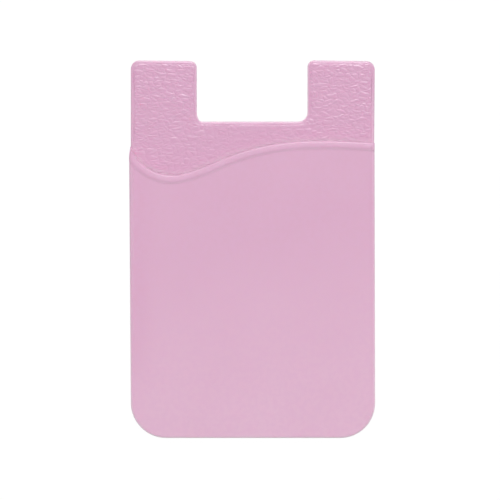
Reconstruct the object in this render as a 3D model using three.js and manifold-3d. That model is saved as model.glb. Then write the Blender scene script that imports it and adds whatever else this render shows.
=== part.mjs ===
import * as THREE from "three";
import { mergeVertices } from "three/addons/utils/BufferGeometryUtils.js";
import Module from "manifold-3d";

// Stick on card holder: a soft silicone pocket for bank cards, stuck to the back of a phone.
// Sizes are in millimetres. X runs across the holder, Y from its foot to its tabs and Z out of its front.
// The origin is under the middle of the holder, on the surface that it lies on.

// The card that the slot is made for, and the room round it
const cardWidth = 53.98;
const cardThickness = 0.76;
const cardSideSlack = 0.31;
const cardFaceSlack = 0.14;

// Silicone walls
const sideWall = 1.325;
const footWall = 1.3;
const backWall = 1.2;
const frontWall = 1.05;
const edgeRound = 0.5;

// Outline of the holder
const holderLength = 88;
const footCornerRadius = 8.15;
const leftSideLean = 0.45; // how far the left side comes in towards the foot
const rightSideWaist = 0.2; // how far the right side dips in at the mouth
const rightWaistReach = 12; // length above and below the mouth over which that dip is blended

// Tabs and the thumb notch between them
const notchWidth = 25.8;
const notchDepth = 14.3;
const leftTabStep = 0.31; // the left tab stands in from the pocket's side by this much
const leftTabStepDrop = 1.3; // how far below the mouth's left end that step starts
const leftTabStepLength = 1.9;
const tabTopFall = 0.2; // each tab's top falls by this much to the right
const tabOuterRadius = 2.05;
const tabInnerRadius = 1.55;
const leftFilletAcross = 1.15;
const leftFilletUp = 2.3;
const rightFilletRadius = 2.2;

// The mouth, an S curve with a raised lip. Its crest lies below the thumb notch, and its other points are
// placed from the crest's height and from the nearer side of the holder
const crestBelowNotch = 4.6;
const crestInset = 12.6;
const crestHandleLeft = 8.9;
const crestHandleRight = 4.1;
const riseInset = 21.3;
const riseBelowCrest = 4.45;
const riseAngle = 0.41;
const riseHandleBelow = 1;
const riseHandleAbove = 7.7;
const troughInset = 10.1;
const troughBelowCrest = 8.05;
const troughHandleLeft = 4.5;
const troughHandleRight = 3.5;
const leftEndBelowCrest = 0.1;
const leftEndHandleAcross = 0.8;
const leftEndHandleDown = 4.9;
const rightEndBelowCrest = 0.5;
const rightEndHandleAcross = 3.7;
const rightEndHandleUp = 0.3;
const lipWidth = 1.85;
const lipHeight = 0.35;

// Adhesive pad and its peel-off liner, on the back
const padSideMargin = 3.625;
const padFootMargin = 4.4;
const padNotchMargin = 3.3;
const padCornerRadius = 4;
const padThickness = 0.25;
const linerOverhang = 0.6;
const linerThickness = 0.12;
const pullTabWidth = 12;
const pullTabFootMargin = 1.4;
const pullTabCornerRadius = 1.2;

const arcSteps = 16; // segments in each corner and each stretch of the mouth
const roundSteps = 5; // rings in each rounded edge
const circleHandle = 0.5523; // share of the radius in a cubic curve's handle that makes a quarter circle

// Heights of the layers, from the surface that the holder lies on
const padBottom = linerThickness;
const backBottom = padBottom + padThickness;
const backTop = backBottom + backWall;
const slotTop = backTop + cardThickness + cardFaceSlack;
const frontTop = slotTop + frontWall;
const lipTop = frontTop + lipHeight;
const backMiddle = (backBottom + backTop) / 2;

// Places across the holder and along it
const slotWidth = cardWidth + 2 * cardSideSlack;
const holderWidth = slotWidth + 2 * sideWall;
const rightX = holderWidth / 2;
const leftX = -rightX;
const topY = holderLength / 2;
const footY = -topY;
const leftTabX = leftX + leftTabStep;
const notchRightX = notchWidth / 2;
const notchLeftX = -notchRightX;
const notchFloorY = topY - notchDepth;
const crestY = notchFloorY - crestBelowNotch;
const leftEndY = crestY - leftEndBelowCrest;
const rightEndY = crestY - rightEndBelowCrest;
const past = holderWidth / 4; // how far cutting shapes run past the outline

const wasm = await Module();
wasm.setup();

// A corner of an outline, where the curve starts this far before the point and ends this far after it
const corner = (x, y, before, after = before) => ({ point: new THREE.Vector2(x, y), before, after });

// A closed outline through the corners, each of them rounded
function outline(corners) {
  const shape = new THREE.Shape();
  corners.forEach(({ point, before, after }, index) => {
    const previous = corners.at(index - 1).point;
    const next = corners[(index + 1) % corners.length].point;
    const start = point.clone().lerp(previous, before / point.distanceTo(previous));
    const end = point.clone().lerp(next, after / point.distanceTo(next));
    const startHandle = start.clone().lerp(point, circleHandle);
    const endHandle = end.clone().lerp(point, circleHandle);
    if (index === 0) shape.moveTo(start.x, start.y);
    else shape.lineTo(start.x, start.y);
    shape.bezierCurveTo(startHandle.x, startHandle.y, endHandle.x, endHandle.y, end.x, end.y);
  });
  shape.closePath();
  return shape;
}

// A mesh geometry as a solid that can be joined and cut
function toSolid(geometry) {
  geometry.deleteAttribute("normal");
  geometry.deleteAttribute("uv");
  const merged = mergeVertices(geometry, 1e-5);
  return new wasm.Manifold(
    new wasm.Mesh({
      numProp: 3,
      vertProperties: merged.attributes.position.array,
      triVerts: new Uint32Array(merged.index.array),
    }),
  );
}

// A slab with upright sides between two heights
function slab(shape, bottom, top) {
  const geometry = new THREE.ExtrudeGeometry(shape, {
    depth: top - bottom,
    bevelEnabled: false,
    curveSegments: arcSteps,
  });
  geometry.translate(0, 0, bottom);
  return toSolid(geometry);
}

// A slab with the edges of both faces rounded
function roundedSlab(shape, bottom, top, radius) {
  const geometry = new THREE.ExtrudeGeometry(shape, {
    depth: top - bottom - 2 * radius,
    bevelThickness: radius,
    bevelSize: radius,
    bevelOffset: -radius,
    bevelSegments: roundSteps,
    curveSegments: arcSteps,
  });
  geometry.translate(0, 0, bottom + radius);
  return toSolid(geometry);
}

function toMesh(name, solid, material) {
  const { vertProperties, triVerts } = solid.getMesh();
  const geometry = new THREE.BufferGeometry();
  geometry.setAttribute("position", new THREE.BufferAttribute(vertProperties, 3));
  geometry.setIndex(new THREE.BufferAttribute(triVerts, 1));
  geometry.computeVertexNormals();
  const mesh = new THREE.Mesh(geometry, material);
  mesh.name = name;
  return mesh;
}

// The holder's whole outline, from the foot's left corner round to the left tab
function holderOutline() {
  const stepTopY = leftEndY - leftTabStepDrop;
  const stepBlend = leftTabStepLength / 3;
  return outline([
    corner(leftX + leftSideLean, footY, footCornerRadius),
    corner(rightX, footY, footCornerRadius),
    corner(rightX - rightSideWaist, rightEndY, rightWaistReach),
    corner(rightX, topY - tabTopFall, tabOuterRadius),
    corner(notchRightX, topY, tabInnerRadius),
    corner(notchRightX, notchFloorY, rightFilletRadius),
    corner(notchLeftX, notchFloorY, leftFilletAcross, leftFilletUp),
    corner(notchLeftX, topY - tabTopFall, tabInnerRadius),
    corner(leftTabX, topY, tabOuterRadius),
    corner(leftTabX, stepTopY, stepBlend),
    corner(leftX, stepTopY - leftTabStepLength, stepBlend),
  ]);
}

// The mouth's edge from the left side to the right side, in four stretches
function mouthCurve() {
  const left = new THREE.Vector2(leftX, leftEndY);
  const trough = new THREE.Vector2(leftX + troughInset, crestY - troughBelowCrest);
  const rise = new THREE.Vector2(leftX + riseInset, crestY - riseBelowCrest);
  const crest = new THREE.Vector2(rightX - crestInset, crestY);
  const right = new THREE.Vector2(rightX, rightEndY);
  const uphill = new THREE.Vector2(Math.cos(riseAngle), Math.sin(riseAngle));
  const handle = (from, x, y) => new THREE.Vector2(from.x + x, from.y + y);
  const path = new THREE.CurvePath();
  path.add(
    new THREE.CubicBezierCurve(
      left,
      handle(left, leftEndHandleAcross, -leftEndHandleDown),
      handle(trough, -troughHandleLeft, 0),
      trough,
    ),
  );
  path.add(
    new THREE.CubicBezierCurve(
      trough,
      handle(trough, troughHandleRight, 0),
      rise.clone().addScaledVector(uphill, -riseHandleBelow),
      rise,
    ),
  );
  path.add(
    new THREE.CubicBezierCurve(
      rise,
      rise.clone().addScaledVector(uphill, riseHandleAbove),
      handle(crest, -crestHandleLeft, 0),
      crest,
    ),
  );
  path.add(
    new THREE.CubicBezierCurve(
      crest,
      handle(crest, crestHandleRight, 0),
      handle(right, -rightEndHandleAcross, rightEndHandleUp),
      right,
    ),
  );
  return path;
}

// The mouth curve moved down into the front panel by a distance square to it, and run past both sides
function mouthLine(distance) {
  const points = mouthCurve().curves.flatMap((curve, index) => {
    const steps = index === 0 ? [0] : [];
    for (let step = 1; step <= arcSteps; step += 1) steps.push(step);
    return steps.map((step) => {
      const along = curve.getTangent(step / arcSteps);
      const inwards = new THREE.Vector2(along.y, -along.x);
      return curve.getPoint(step / arcSteps).addScaledVector(inwards, distance);
    });
  });
  const first = points[0];
  const last = points.at(-1);
  const outwards = first.clone().sub(points[1]).setLength(past);
  return [first.clone().add(outwards), ...points, new THREE.Vector2(last.x + past, last.y)];
}

// The region of the front panel, from a line along the mouth down past the foot
function belowMouth(distance) {
  const line = mouthLine(distance);
  const low = footY - past;
  return new THREE.Shape([
    new THREE.Vector2(leftX - past, low),
    new THREE.Vector2(rightX + past, low),
    ...line.toReversed(),
    new THREE.Vector2(leftX - past, line[0].y),
  ]);
}

// The strip of the lip along the mouth
function lipStrip() {
  return new THREE.Shape([...mouthLine(0), ...mouthLine(lipWidth).toReversed()]);
}

// The card slot: open at the mouth, with round corners at the foot
function slotOutline() {
  const halfSlot = slotWidth / 2;
  const slotFootY = footY + footWall;
  const slotCornerRadius = footCornerRadius - sideWall;
  return outline([
    corner(-halfSlot, slotFootY, slotCornerRadius),
    corner(halfSlot, slotFootY, slotCornerRadius),
    corner(halfSlot, topY + past, 0),
    corner(-halfSlot, topY + past, 0),
  ]);
}

function siliconePouch() {
  const whole = holderOutline();
  const backSheet = roundedSlab(whole, backBottom, backTop, edgeRound);
  const frontBlock = roundedSlab(whole, backBottom, frontTop, edgeRound);
  const lipBlock = roundedSlab(whole, backBottom, lipTop, edgeRound);
  const panelRegion = slab(belowMouth(lipWidth / 2), backMiddle, lipTop + past);
  const lipRegion = roundedSlab(lipStrip(), backMiddle - lipHeight, lipTop, lipHeight);
  const slot = slab(slotOutline(), backTop, slotTop);
  return backSheet
    .add(frontBlock.intersect(panelRegion))
    .add(lipBlock.intersect(lipRegion))
    .subtract(slot);
}

const padHalf = holderWidth / 2 - padSideMargin;
const padFootY = footY + padFootMargin;
const padTopY = notchFloorY - padNotchMargin;

function adhesivePad() {
  const shape = outline([
    corner(-padHalf, padFootY, padCornerRadius),
    corner(padHalf, padFootY, padCornerRadius),
    corner(padHalf, padTopY, padCornerRadius),
    corner(-padHalf, padTopY, padCornerRadius),
  ]);
  return slab(shape, padBottom, backBottom);
}

// The liner follows the pad with a small overhang, and its pull tab stands out at the foot
function releaseLiner() {
  const half = padHalf + linerOverhang;
  const low = padFootY - linerOverhang;
  const high = padTopY + linerOverhang;
  const radius = padCornerRadius + linerOverhang;
  const tabHalf = pullTabWidth / 2;
  const tabLow = footY + pullTabFootMargin;
  const shape = outline([
    corner(-half, low, radius),
    corner(-tabHalf, low, linerOverhang),
    corner(-tabHalf, tabLow, pullTabCornerRadius),
    corner(tabHalf, tabLow, pullTabCornerRadius),
    corner(tabHalf, low, linerOverhang),
    corner(half, low, radius),
    corner(half, high, radius),
    corner(-half, high, radius),
  ]);
  return slab(shape, 0, padBottom);
}

const silicone = new THREE.MeshStandardMaterial({ color: 0xdbaec9, roughness: 0.6, metalness: 0 });
const adhesive = new THREE.MeshStandardMaterial({ color: 0xe6e3da, roughness: 0.5, metalness: 0 });
const linerPaper = new THREE.MeshStandardMaterial({ color: 0xf3f1ea, roughness: 0.45, metalness: 0 });

const cardHolder = new THREE.Group();
cardHolder.add(toMesh("silicone_pouch", siliconePouch(), silicone));
cardHolder.add(toMesh("adhesive_pad", adhesivePad(), adhesive));
cardHolder.add(toMesh("release_liner", releaseLiner(), linerPaper));

export default cardHolder;
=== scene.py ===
import math

import bmesh
import bpy
from mathutils import Matrix, Vector, bvhtree, geometry, kdtree, noise


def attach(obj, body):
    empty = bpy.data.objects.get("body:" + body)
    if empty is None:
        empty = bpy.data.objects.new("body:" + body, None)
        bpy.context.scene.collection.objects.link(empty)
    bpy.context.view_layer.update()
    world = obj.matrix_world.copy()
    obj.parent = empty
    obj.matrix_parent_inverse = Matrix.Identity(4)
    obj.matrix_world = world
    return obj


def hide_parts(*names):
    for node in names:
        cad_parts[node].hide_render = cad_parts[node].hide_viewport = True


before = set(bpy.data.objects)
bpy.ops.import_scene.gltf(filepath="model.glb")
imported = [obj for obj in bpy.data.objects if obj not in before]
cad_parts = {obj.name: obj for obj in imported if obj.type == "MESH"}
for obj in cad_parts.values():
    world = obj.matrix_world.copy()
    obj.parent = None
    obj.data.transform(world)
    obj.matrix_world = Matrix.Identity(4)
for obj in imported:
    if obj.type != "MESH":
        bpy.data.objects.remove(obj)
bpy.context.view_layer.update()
mm = 0.001
print("frame loaded")

# the photograph is taken from straight above through a long lens
photo = {
    "lens": 200,
    "sensor": 36,
    "widthAcross": 116.49 * mm,  # what the picture shows across, at the sharp plane's height
    "middle": (-0.51 * mm, -0.27 * mm),
    "sharpPlane": 2.0 * mm,
    "clipStart": 0.01,
}


def setCamera():
    data = bpy.data.cameras.new("camera")
    data.lens = photo["lens"]
    data.sensor_width = photo["sensor"]
    data.clip_start = photo["clipStart"]
    camera = bpy.data.objects.new("camera", data)
    away = photo["widthAcross"] * photo["lens"] / photo["sensor"]
    camera.location = (*photo["middle"], photo["sharpPlane"] + away)
    bpy.context.scene.collection.objects.link(camera)
    bpy.context.scene.camera = camera


# light comes evenly from all round, and three soft lamps add their shares: one overhead, one past the tabs
# and one for the back, which reaches it from under the floor
studio = {
    "skyShare": 0.34,
    "lamps": (
        {"share": 0.37, "place": (0.05, 0.05, 1.6), "size": 2.4},
        {"share": 0.40, "place": (0.15, 1.15, 1.60), "size": 0.5},
        {"share": 0.55, "place": (0.10, -0.40, -1.60), "size": 1.2},
    ),
    "floorSize": 3.0,
    "floorDrop": 0.02 * mm,
    "floorGrey": (0.9, 0.9, 0.9, 1),
    "floorWhite": 0.95,
    "floorGlow": 1.03,
    "floorPass": (0.6 * mm, 1.2 * mm),  # a ray up to the first length passes, one past the second doesn't
}


class Wire:
    # a socket of a material: sums on it add Math nodes, and add() puts in any other node
    def __init__(self, tree, socket=None):
        self.tree = tree
        self.socket = socket

    def add(self, kind, settings=None, inputs=None, output=0):
        node = self.tree.nodes.new("ShaderNode" + kind)
        for name, value in (settings or {}).items():
            setattr(node, name, value)
        for name, value in (inputs or {}).items():
            if isinstance(value, Wire):
                self.tree.links.new(value.socket, node.inputs[name])
            else:
                node.inputs[name].default_value = value
        return Wire(self.tree, node.outputs[output] if len(node.outputs) else None)

    def maths(self, operation, first, second):
        return self.add("Math", {"operation": operation}, {0: first, 1: second})

    def __add__(self, other):
        return self.maths("ADD", self, other)

    __radd__ = __add__

    def __sub__(self, other):
        return self.maths("SUBTRACT", self, other)

    def __rsub__(self, other):
        return self.maths("SUBTRACT", other, self)

    def __mul__(self, other):
        return self.maths("MULTIPLY", self, other)

    __rmul__ = __mul__

    def mask(self, low, high, start=0.0, end=1.0):
        # a smooth step from one value to another as the socket goes from low to high
        return self.add(
            "MapRange",
            {"interpolation_type": "SMOOTHSTEP"},
            {"Value": self, "From Min": low, "From Max": high, "To Min": start, "To Max": end},
        )

    def blend(self, share, first, second):
        return self.add("Mix", {"data_type": "RGBA"}, {0: share, 6: first, 7: second}, 2)


def newFinish(name):
    material = bpy.data.materials.new(name)
    material.use_nodes = True
    material.node_tree.nodes.clear()
    return material, Wire(material.node_tree)


def newPiece(name, net, material):
    mesh = bpy.data.meshes.new(name)
    net.to_mesh(mesh)
    net.free()
    mesh.materials.append(material)
    piece = bpy.data.objects.new(name, mesh)
    bpy.context.scene.collection.objects.link(piece)
    return piece


def colour(red, green, blue):
    # a colour picker's 0 to 255 values as the linear light that shaders use
    parts = [value / 255 for value in (red, green, blue)]
    return (*[p / 12.92 if p <= 0.04045 else ((p + 0.055) / 1.055) ** 2.4 for p in parts], 1)


def whiteRays(wire):
    # the rays that see the white background: the camera's, and those off gloss and through glass
    seen = wire.add("LightPath", output="Is Camera Ray")
    shiny = wire.add("LightPath", output="Is Glossy Ray")
    through = wire.add("LightPath", output="Is Transmission Ray")
    return seen + shiny + through


def setLight():
    world = bpy.data.worlds.new("sky")
    world.use_nodes = True
    world.node_tree.nodes.clear()
    wire = Wire(world.node_tree)
    strength = whiteRays(wire).mask(0, 1, studio["skyShare"], 1.0)
    sky = wire.add("Background", inputs={"Color": (1, 1, 1, 1), "Strength": strength})
    wire.add("OutputWorld", inputs={"Surface": sky})
    bpy.context.scene.world = world
    for lamp in studio["lamps"]:
        data = bpy.data.lights.new("softLamp", "AREA")
        data.size = lamp["size"]
        place = Vector(lamp["place"])
        # watts that light a level surface at the middle by the lamp's share
        data.energy = lamp["share"] * math.pi**2 * place.length**3 / abs(place.z)
        source = bpy.data.objects.new("softLamp", data)
        source.location = place
        source.rotation_euler = place.to_track_quat("Z", "Y").to_euler()
        bpy.context.scene.collection.objects.link(source)


def setFloor():
    material, wire = newFinish("paleFloor")
    seen = wire.add("LightPath", output="Is Camera Ray")
    # the floor is clear from below, and to light on its way to a back that lies close over it
    under = wire.add("NewGeometry", output="Backfacing")
    near = wire.add("LightPath", output="Ray Length").mask(*studio["floorPass"], 1.0, 0.0)
    clearShare = under + (1 - under) * (1 - seen) * near
    matte = wire.add("BsdfDiffuse", inputs={"Color": studio["floorGrey"]})
    glow = wire.add("Emission", inputs={"Color": (1, 1, 1, 1), "Strength": studio["floorGlow"]})
    glowShare = whiteRays(wire) * studio["floorWhite"]
    top = wire.add("MixShader", inputs={0: glowShare, 1: matte, 2: glow})
    clear = wire.add("BsdfTransparent")
    both = wire.add("MixShader", inputs={0: clearShare, 1: top, 2: clear})
    wire.add("OutputMaterial", inputs={"Surface": both})
    net = bmesh.new()
    place = Matrix.Translation((0, 0, -studio["floorDrop"]))
    size = studio["floorSize"] / 2
    bmesh.ops.create_grid(net, x_segments=1, y_segments=1, size=size, matrix=place)
    floor = newPiece("floor", net, material)


setCamera()
setLight()
setFloor()
print("camera, light and floor set")

pouch = {
    "floorHeight": 1.57 * mm,  # the top of the back sheet
    "panelHeight": 3.52 * mm,  # the top of the front panel
    "edgeRound": 0.5 * mm,
    "edgeSlack": 0.01,
    "sideEnd": 28.05 * mm,
    "mergeGap": 0.001 * mm,
    "flatAngle": 0.3,
    "sharpAngle": 38,
    "levelNormal": 0.999,
    "levelGap": 0.005 * mm,
    "edgeBand": 0.1 * mm,  # the strip of a flat face that stays as it is, by its rim
    "rimStep": 0.08 * mm,
    "netGap": 0.12 * mm,  # what stays free between that strip and the net
    "grainStep": 0.122 * mm,
    "lipStep": 0.17 * mm,
    "panelStep": 0.9 * mm,
    "lipReach": 2.75 * mm,
    "slotReach": 1.4 * mm,
    "sheetOver": 0.2 * mm,
    "sheetUnder": 0.3 * mm,
    "sheetSoftDrop": 0.10 * mm,
    "sheetSoftReach": 0.8 * mm,
    "mouthSlack": 0.05 * mm,
    "waveHeight": 0.03 * mm,
    "waveLength": 17 * mm,
    "wavePlane": 5 * mm,
    "waveFade": 4 * mm,
    "waveStart": 8 * mm,
}

# the lip is a bead: its top falls a little towards the mouth's rim and quickly towards the panel
lip = {
    "height": 0.35 * mm,
    "round": 0.35 * mm,
    "width": 1.85 * mm,
    "slopeNormal": 0.05,
    "slopeSlack": 0.02 * mm,
    "sideReach": 0.2 * mm,
    "beadHeight": 0.24 * mm,
    "summit": 1.25 * mm,
    "foot": 1.92 * mm,
    "rimDrop": 0.12 * mm,
    "rimBend": 1.8,
    "smoothTurns": 2,
}

# pebbles of leather grain on the sheet, fainter under the notch and by the mouth's trough
grain = {
    "seed": 11,
    "cell": 0.95 * mm,
    "stretch": 1.9,
    "height": 0.065 * mm,
    "middle": 0.7,
    "creaseWidth": 0.60,
    "tilt": 0.5,
    "warp": 0.55,
    "warpPace": 0.9,
    "fineCell": 0.4 * mm,
    "fineShare": 0.15,
    "edgeFade": (0, 0.25 * mm),
    "mouthFade": (0.2 * mm, 1.2 * mm),
    "notchHalf": 9 * mm,
    "notchTop": 32 * mm,
    "notchFade": 4 * mm,
    "notchLoss": 0.5,
    "troughTop": 27 * mm,
    "troughFade": 8 * mm,
    "troughLoss": 0.1,
}

# painted light: the pink turns paler on rounded edges as a painted highlight, most of all at the foot, and
# as painted light against the shade on the lip's slope to the panel and on the sheet by the mouth
paintedEdgeLight = {
    "tilt": 0.2,
    "sideTilt": (-0.05, 0.25),
    "edgeShare": 0.6,
    "footTop": -30 * mm,
    "footTilt": 0.12,
    "footShare": 0.4,
    "tabSide": 27 * mm,
    "tabShare": 0.2,
    "mouthReach": 0.3 * mm,
    "mouthShare": 0.2,
    "lipReach": 0.2 * mm,
    "lipTilt": 0.06,
    "lipShare": 0.18,
    "sheetDepth": 0.1 * mm,
    "sheetReach": 1.5 * mm,
    "sheetShare": 0.3,
}

# the mouth's edge as four curved stretches, in millimetres: start, its handle, the end's handle, the end
mouthStretches = (
    ((-28.625, 25.0), (-27.825, 20.1), (-23.025, 17.05), (-18.525, 17.05)),
    ((-18.525, 17.05), (-15.025, 17.05), (-8.2421, 20.2514), (-7.325, 20.65)),
    ((-7.325, 20.65), (-0.2633, 23.7192), (7.125, 25.1), (16.025, 25.1)),
    ((16.025, 25.1), (20.125, 25.1), (24.925, 24.9), (28.625, 24.6)),
)
stretchPoints = 400


def smoothStep(value, low, high):
    part = min(max((value - low) / (high - low), 0.0), 1.0)
    return part * part * (3 - 2 * part)


class NearestLine:
    # finds the nearest place on a run of closely spaced points, and the side of it that a place is on
    def __init__(self, points):
        self.points = points
        self.tree = kdtree.KDTree(len(points))
        for index, point in enumerate(points):
            self.tree.insert((point[0], point[1], 0), index)
        self.tree.balance()

    def away(self, place):
        return self.tree.find((place.x, place.y, 0))[2]

    def below(self, place):
        index, gap = self.tree.find((place.x, place.y, 0))[1:]
        last = min(index + 1, len(self.points) - 1)
        first = max(index - 1, 0)
        along = self.points[last] - self.points[first]
        offset = Vector((place.x, place.y)) - self.points[index]
        return gap if along.cross(offset) < 0 else -gap


def mouthLine():
    points = []
    for stretch in mouthStretches:
        knots = [Vector((x * mm, y * mm)) for x, y in stretch]
        points += geometry.interpolate_bezier(*knots, stretchPoints)
    return NearestLine([Vector((p.x, p.y)) for p in points])


mouth = mouthLine()


def mergedCopy(node):
    net = bmesh.new()
    net.from_mesh(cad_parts[node].data)
    bmesh.ops.remove_doubles(net, verts=net.verts, dist=pouch["mergeGap"])
    flat = math.radians(pouch["flatAngle"])
    bmesh.ops.dissolve_limit(net, angle_limit=flat, verts=net.verts, edges=net.edges)
    return net


def rimOf(faces):
    chosen = set(faces)
    edges = {edge for face in faces for edge in face.edges}
    return [edge for edge in edges if len(chosen.intersection(edge.link_faces)) == 1]


def pointsAlong(edges, spacing):
    points = []
    for edge in edges:
        start, end = (vert.co for vert in edge.verts)
        count = math.ceil((end - start).length / spacing)
        points += [start.lerp(end, step / count).to_2d() for step in range(count)]
    return points


def isStray(vert):
    # a corner that hangs on the net by a point, or on nothing
    openEdges = sum(edge.is_boundary for edge in vert.link_edges)
    return not vert.link_faces or vert.is_boundary and openEdges != 2


def layNet(net, step, corners, keep):
    # a square net over the box between two corners, cut back to where keep() says
    low, high = corners
    size = high - low
    across, along = math.ceil(size.x / step), math.ceil(size.y / step)
    place = Matrix.Translation((low + high) / 2) @ Matrix.Diagonal((size.x, size.y, 1, 1))
    made = bmesh.ops.create_grid(net, x_segments=across, y_segments=along, size=0.5, matrix=place)
    outside = [vert for vert in made["verts"] if not keep(vert.co)]
    bmesh.ops.delete(net, geom=outside, context="VERTS")
    verts = [vert for vert in made["verts"] if vert.is_valid]
    while True:
        stray = [vert for vert in verts if isStray(vert)]
        if not stray:
            return verts
        bmesh.ops.delete(net, geom=stray, context="VERTS")
        verts = [vert for vert in verts if vert.is_valid]
        loose = {e for v in verts for e in v.link_edges if e.is_wire}
        bmesh.ops.delete(net, geom=list(loose), context="EDGES")


def coverOf(faces):
    # the faces laid flat, to tell whether a place lies on them
    flat = [[Vector((v.co.x, v.co.y, 0)) for v in face.verts] for face in faces]
    corners = [corner for face in flat for corner in face]
    starts = [sum(len(face) for face in flat[:index]) for index in range(len(flat))]
    rings = [list(range(start, start + len(face))) for start, face in zip(starts, flat)]
    return bvhtree.BVHTree.FromPolygons(corners, rings)


def relay(net, faces, layers):
    # the faces give way to fine nets, joined to their rim, so that a relief can be shaped in them
    bmesh.ops.inset_region(net, faces=faces, thickness=pouch["edgeBand"], use_even_offset=True)
    rim = rimOf(faces)
    height = max(vert.co.z for edge in rim for vert in edge.verts)
    places = [vert.co.copy() for face in faces for vert in face.verts]
    low = Vector((min(p.x for p in places), min(p.y for p in places), height))
    high = Vector((max(p.x for p in places), max(p.y for p in places), height))
    outline = NearestLine(pointsAlong(rim, pouch["rimStep"]))
    cover = coverOf(faces)
    bmesh.ops.delete(net, geom=faces, context="FACES")
    borders = [edge for edge in rim if edge.is_valid]
    laid = []
    for step, where in layers:
        def keep(place):
            if not where(place) or outline.away(place) < pouch["netGap"]:
                return False
            above = Vector((place.x, place.y, 1))
            return cover.ray_cast(above, Vector((0, 0, -1)))[0] is not None

        verts = layNet(net, step, (low, high), keep)
        laid.append(verts)
        borders += list({e for v in verts for e in v.link_edges if e.is_boundary})
    bmesh.ops.triangle_fill(net, use_beauty=True, edges=borders, normal=(0, 0, 1))
    return laid, outline


def grainHeight(place):
    # pebbles with creases between them, wider than they are tall, from 0 in a crease to about 1
    level = Vector((place.x / grain["stretch"], place.y, 0))
    spot = level / grain["cell"]
    spot += noise.noise_vector(spot * grain["warpPace"]) * grain["warp"]
    gaps, centres = noise.voronoi(spot)
    pebble = 1 - (1 - min((gaps[1] - gaps[0]) / grain["creaseWidth"], 1)) ** 2
    lean = 1 + grain["tilt"] * (spot.y - centres[0].y)
    return pebble * lean + grain["fineShare"] * noise.noise(level / grain["fineCell"])


def grainShare(place):
    # how deep the grain is: 1 on the tabs
    byNotch = math.exp(-((place.x / grain["notchHalf"]) ** 2))
    byNotch *= smoothStep(grain["notchTop"] - place.y, 0, grain["notchFade"])
    byTrough = smoothStep(grain["troughTop"] - place.y, 0, grain["troughFade"])
    return (1 - grain["notchLoss"] * byNotch) * (1 - grain["troughLoss"] * byTrough)


def beadLift(away):
    if away < lip["summit"]:
        toRim = 1 - max(away, 0) / lip["summit"]
        return lip["beadHeight"] - lip["rimDrop"] * toRim ** lip["rimBend"]
    part = min((away - lip["summit"]) / (lip["foot"] - lip["summit"]), 1)
    return lip["beadHeight"] * (1 - part**2)


def plainLift(away):
    # the lip as the solid has it: flat, with a quarter round down to the panel
    across = min(max(away - lip["width"] + lip["round"], 0), lip["round"])
    return lip["height"] * math.sqrt(max(1 - (across / lip["round"]) ** 2, 0))


def isLevel(face, height):
    gap = abs(face.calc_center_median().z - height)
    return face.normal.z > pouch["levelNormal"] and gap < pouch["levelGap"]


def isLipSlope(face):
    middle = face.calc_center_median()
    if face.normal.z < lip["slopeNormal"] or middle.z < pouch["panelHeight"]:
        return False
    if abs(middle.x) > pouch["sideEnd"]:
        return False
    away = mouth.below(middle)
    return lip["width"] - lip["round"] - lip["slopeSlack"] < away < lip["width"] + lip["slopeSlack"]


def grainSheet(net, crease):
    floor = [face for face in net.faces if isLevel(face, pouch["floorHeight"])]
    sheetNet = (pouch["grainStep"], lambda place: mouth.below(place) < pouch["slotReach"])
    nets, edge = relay(net, floor, [sheetNet])
    grained = set(nets[0])
    noise.seed_set(grain["seed"])
    for vert in nets[0]:
        gap = edge.away(vert.co)
        below = mouth.below(vert.co)
        strength = smoothStep(gap, *grain["edgeFade"]) * grainShare(vert.co)
        strength *= 1 - smoothStep(below, *grain["mouthFade"])
        relief = grainHeight(vert.co) - grain["middle"]
        vert[crease] = 1.0 if relief < 0 < strength else 0.0
        soft = max(1 - gap / pouch["sheetSoftReach"], 0) ** 2 if below < 0 else 0
        vert.co.z += relief * strength * grain["height"] - pouch["sheetSoftDrop"] * soft
    # the sheet's rounded edges sink with it, from their foot up
    for vert in net.verts:
        height = (vert.co.z - pouch["floorHeight"]) / pouch["edgeRound"] + 1
        outside = mouth.below(vert.co) < -pouch["mouthSlack"]
        if vert not in grained and 0 < height < 1 + pouch["edgeSlack"] and outside:
            vert.co.z -= pouch["sheetSoftDrop"] * height
    print("  sheet grained", len(floor), len(nets[0]))


def isFront(face):
    heights = (pouch["panelHeight"], pouch["panelHeight"] + lip["height"])
    return any(isLevel(face, height) for height in heights) or isLipSlope(face)


def shapeFront(net):
    front = [face for face in net.faces if isFront(face)]
    # the solid's own points round the lip follow the bead
    for vert in net.verts:
        sideFoot = pouch["panelHeight"] - lip["sideReach"]
        share = smoothStep(vert.co.z, sideFoot, pouch["panelHeight"])
        away = max(mouth.below(vert.co), 0)
        if share > 0 and away < lip["foot"]:
            vert.co.z -= (plainLift(away) - beadLift(away)) * share
    panelStart = pouch["lipReach"] + 0.5 * pouch["panelStep"]
    lipNet = (pouch["lipStep"], lambda place: mouth.below(place) < pouch["lipReach"])
    panelNet = (pouch["panelStep"], lambda place: mouth.below(place) > panelStart)
    nets, edge = relay(net, front, [lipNet, panelNet])
    for vert in nets[0] + nets[1]:
        away = mouth.below(vert.co)
        spot = Vector((vert.co.x, vert.co.y, pouch["wavePlane"]))
        wave = noise.noise(spot / pouch["waveLength"])
        wave *= smoothStep(edge.away(vert.co), 0, pouch["waveFade"])
        wave *= smoothStep(away, pouch["lipReach"], pouch["waveStart"])
        vert.co.z = pouch["panelHeight"] + beadLift(away) + wave * pouch["waveHeight"]
    for turn in range(lip["smoothTurns"]):
        bmesh.ops.smooth_vert(net, verts=nets[0], factor=0.5, use_axis_z=True)
    print("  front shaped", len(front), len(nets[0]), len(nets[1]))


# how much painted highlight and painted light a point gets, for the pale pink
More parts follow.
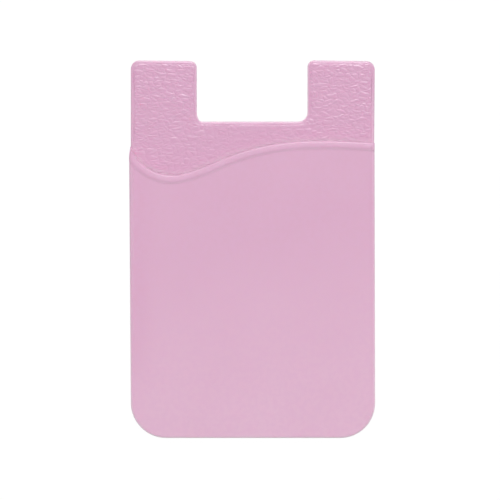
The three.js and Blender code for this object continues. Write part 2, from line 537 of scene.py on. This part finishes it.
def paintedLightShare(vert, onSheet, inCrease):
    up = vert.normal.z
    below = mouth.below(vert.co)
    toFoot = max(-vert.normal.y, 0) if vert.co.y < paintedEdgeLight["footTop"] else 0
    # painted highlight on rounded edges, stronger on those facing the foot
    share = smoothStep(1 - up, 0.0, paintedEdgeLight["tilt"] - paintedEdgeLight["footTilt"] * toFoot)
    share *= smoothStep(up, *paintedEdgeLight["sideTilt"])
    if onSheet and abs(vert.co.x) > paintedEdgeLight["tabSide"] and below < 0:
        share *= paintedEdgeLight["tabShare"]
    else:
        share *= paintedEdgeLight["edgeShare"] + paintedEdgeLight["footShare"] * toFoot
    if -paintedEdgeLight["mouthReach"] < below < lip["round"]:
        share *= paintedEdgeLight["mouthShare"]
    if onSheet and inCrease:
        share = 0
    # painted light on the lip's slope down to the panel, paling the shade at its foot
    onTop = vert.co.z > pouch["panelHeight"] - pouch["edgeRound"]
    if onTop and lip["round"] < below < lip["foot"] + paintedEdgeLight["lipReach"]:
        share = paintedEdgeLight["lipShare"] * smoothStep(1 - up, 0.0, paintedEdgeLight["lipTilt"])
        share *= smoothStep(below, lip["summit"], lip["foot"])
    # painted light on the sheet by the mouth, paling the shade under the mouth's wall
    if onSheet and vert.co.z > pouch["floorHeight"] - paintedEdgeLight["sheetDepth"]:
        nearMouth = smoothStep(below, -paintedEdgeLight["sheetReach"], 0)
        share = max(share, paintedEdgeLight["sheetShare"] * nearMouth)
    return share


def buildPouch():
    net = mergedCopy("silicone_pouch")
    crease = net.verts.layers.float.new("crease")
    sheet = net.verts.layers.float.new("sheet")
    # the rim layer holds each point's share of painted highlight and painted light
    rim = net.verts.layers.float.new("rim")
    grainSheet(net, crease)
    for vert in net.verts:
        low = vert.co.z < pouch["floorHeight"] + pouch["sheetOver"]
        vert[sheet] = 1.0 if low and mouth.below(vert.co) < pouch["sheetUnder"] else 0.0
    shapeFront(net)
    bmesh.ops.recalc_face_normals(net, faces=net.faces)
    net.normal_update()
    for vert in net.verts:
        vert[rim] = paintedLightShare(vert, vert[sheet] > 0, vert[crease] > 0)
    for face in net.faces:
        face.smooth = True
    for edge in net.edges:
        if edge.is_manifold and edge.calc_face_angle() > math.radians(pouch["sharpAngle"]):
            edge.smooth = False
    print("  open edges", sum(not e.is_manifold for e in net.edges), "faces", len(net.faces))
    return net


silicone = {
    "panelPink": colour(218, 169, 198),
    # painted light: the pink turns paler towards the foot
    "paintedLightFootPink": colour(227, 185, 209),
    "paintedLightFootRange": (16 * mm, -46 * mm, 0.0, 0.8),
    # painted shade: a darker pink band down the panel's left side
    "paintedShadeLeftPink": colour(218, 166, 197),
    "leftAcross": (-21 * mm, -28 * mm),
    "leftAlong": (-44 * mm, -4 * mm, 0.1, 0.9),
    # painted shade: a darker pink on the back sheet, for the shade in its grain
    "paintedShadeSheetPink": colour(215, 164, 195),
    # painted highlight: the pale pink of rounded edges, and painted light on the lip's slope and the sheet
    # by the mouth
    "paintedHighlightPink": colour(243, 220, 232),
    "cloudNoise": (45.0, 3.0, 0.5),  # scale, detail and roughness
    "cloudShare": 0.5,
    "mottlePink": colour(220, 172, 204),
    "mottleNoise": (800.0, 2.0, 0.6),
    "mottleRange": (0.35, 0.65, 0.0, 0.35),
    "skinNoise": (5200.0, 2.0, 0.6),
    "skinBump": 0.25,
    "skinDepth": 0.01 * mm,
    "roughness": 0.33,
    "roughnessDrift": 0.08,
}


def siliconeFinish():
    material, wire = newFinish("matteSilicone")
    place = wire.add("TexCoord", output="Object")

    def speckle(scale, detail, roughness):
        inputs = {"Vector": place, "Scale": scale, "Detail": detail, "Roughness": roughness}
        return wire.add("TexNoise", inputs=inputs)

    cloud = speckle(*silicone["cloudNoise"])
    skin = speckle(*silicone["skinNoise"])
    mottle = speckle(*silicone["mottleNoise"])
    sheet = wire.add("Attribute", {"attribute_name": "sheet"}, output="Fac")
    rim = wire.add("Attribute", {"attribute_name": "rim"}, output="Fac")
    across = wire.add("SeparateXYZ", inputs={0: place}, output="X")
    along = wire.add("SeparateXYZ", inputs={0: place}, output="Y")
    # painted light, paler towards the foot, with a random cloud of tone mixed in
    toFoot = along.mask(*silicone["paintedLightFootRange"]) + silicone["cloudShare"] * (cloud - 0.5)
    # painted shade along the panel's left side, fading towards the foot
    paintedShadeLeftBand = across.mask(*silicone["leftAcross"]) * along.mask(*silicone["leftAlong"])
    body = wire.blend(toFoot, silicone["panelPink"], silicone["paintedLightFootPink"])
    body = wire.blend(paintedShadeLeftBand, body, silicone["paintedShadeLeftPink"])
    body = wire.blend(mottle.mask(*silicone["mottleRange"]), body, silicone["mottlePink"])
    # painted shade on the sheet
    body = wire.blend(sheet, body, silicone["paintedShadeSheetPink"])
    # painted highlight and painted light, where the rim layer says
    body = wire.blend(rim, body, silicone["paintedHighlightPink"])
    relief = {"Height": skin, "Strength": silicone["skinBump"], "Distance": silicone["skinDepth"]}
    shader = wire.add(
        "BsdfPrincipled",
        inputs={
            "Base Color": body,
            "Roughness": silicone["roughness"] + silicone["roughnessDrift"] * (cloud - 0.5),
            "Normal": wire.add("Bump", inputs=relief),
            "Specular IOR Level": 0.65,
            "Subsurface Weight": 0.35,
            "Subsurface Radius": (1.0, 0.6, 0.8),
            "Subsurface Scale": 0.6 * mm,
            "Sheen Weight": 0.2,
            "Sheen Roughness": 0.4,
            "Sheen Tint": (1.0, 0.9, 0.96, 1.0),
        },
    )
    wire.add("OutputMaterial", inputs={"Surface": shader})
    return material


pouchPiece = newPiece("siliconePouch", buildPouch(), siliconeFinish())
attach(pouchPiece, "root")
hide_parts("silicone_pouch")
print("silicone pouch made")

adhesive = {
    "dark": colour(226, 222, 212),
    "pale": colour(236, 233, 226),
    "cloudScale": 120.0,
    "cloudRange": (0.3, 0.7),
    "roughness": 0.4,
}


def adhesiveFinish():
    material, wire = newFinish("clearAdhesive")
    place = wire.add("TexCoord", output="Object")
    inputs = {"Vector": place, "Scale": adhesive["cloudScale"], "Detail": 4.0}
    cloud = wire.add("TexNoise", inputs=inputs)
    body = wire.blend(cloud.mask(*adhesive["cloudRange"]), adhesive["dark"], adhesive["pale"])
    inputs = {"Base Color": body, "Roughness": adhesive["roughness"]}
    shader = wire.add("BsdfPrincipled", inputs=inputs)
    wire.add("OutputMaterial", inputs={"Surface": shader})
    return material


liner = {
    "dark": colour(240, 238, 230),
    "pale": colour(247, 245, 239),
    "fibreScale": 900.0,
    "fibreRange": (0.3, 0.7),
    "fibreBump": 0.2,
    "fibreDepth": 0.01 * mm,
    "roughness": 0.35,
}


def linerFinish():
    material, wire = newFinish("linerPaper")
    place = wire.add("TexCoord", output="Object")
    inputs = {"Vector": place, "Scale": liner["fibreScale"], "Detail": 5.0, "Roughness": 0.7}
    fibre = wire.add("TexNoise", inputs=inputs)
    body = wire.blend(fibre.mask(*liner["fibreRange"]), liner["dark"], liner["pale"])
    relief = {"Height": fibre, "Strength": liner["fibreBump"], "Distance": liner["fibreDepth"]}
    bump = wire.add("Bump", inputs=relief)
    inputs = {"Base Color": body, "Roughness": liner["roughness"], "Normal": bump}
    shader = wire.add("BsdfPrincipled", inputs=inputs)
    wire.add("OutputMaterial", inputs={"Surface": shader})
    return material


for node, finish in (("adhesive_pad", adhesiveFinish()), ("release_liner", linerFinish())):
    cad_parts[node].data.materials.clear()
    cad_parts[node].data.materials.append(finish)
print("pad and liner finished")

bpy.context.scene.view_settings.view_transform = "Standard"
